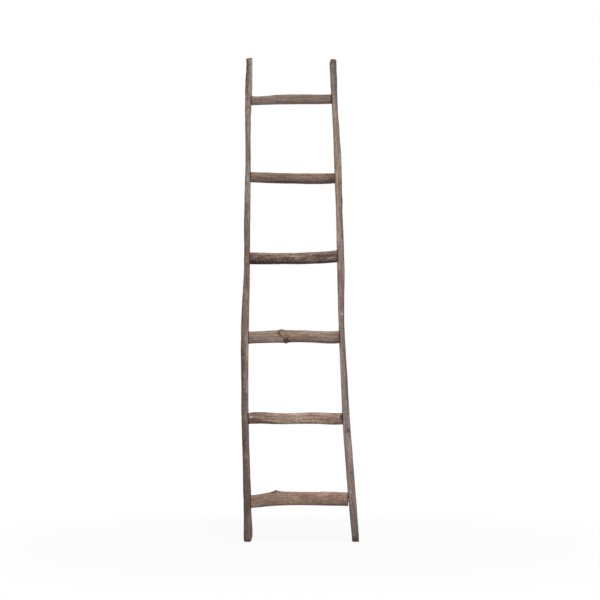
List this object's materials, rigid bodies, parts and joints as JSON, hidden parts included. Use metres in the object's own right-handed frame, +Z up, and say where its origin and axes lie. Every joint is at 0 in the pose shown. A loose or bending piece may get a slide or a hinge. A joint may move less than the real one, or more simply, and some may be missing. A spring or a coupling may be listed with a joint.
{
  "type": "decorative ladder",
  "caption": "Rustic leaning ladder of weathered, peeled branches, with uneven rails and nailed rungs, for display or for hanging blankets and towels.",
  "frame": {"origin": "on the floor, below the middle of the ladder", "axes": "+Z up the ladder, +X to the right seen from the front, +Y from the front to the back"},
  "size_m": [0.4421, 0.0369, 1.8291],
  "materials": {
    "rail_wood": "weathered, peeled and bare",
    "rung_wood": "weathered, peeled and bare",
    "nail_steel": "dull, rusted"
  },
  "bodies": {
    "root": {"left_rail": "rail_wood", "right_rail": "rail_wood", "rung_1": "rung_wood", "rung_2": "rung_wood", "rung_3": "rung_wood", "rung_4": "rung_wood", "rung_5": "rung_wood", "rung_6": "rung_wood", "left_nails": "nail_steel", "right_nails": "nail_steel"}
  },
  "joints": []
}
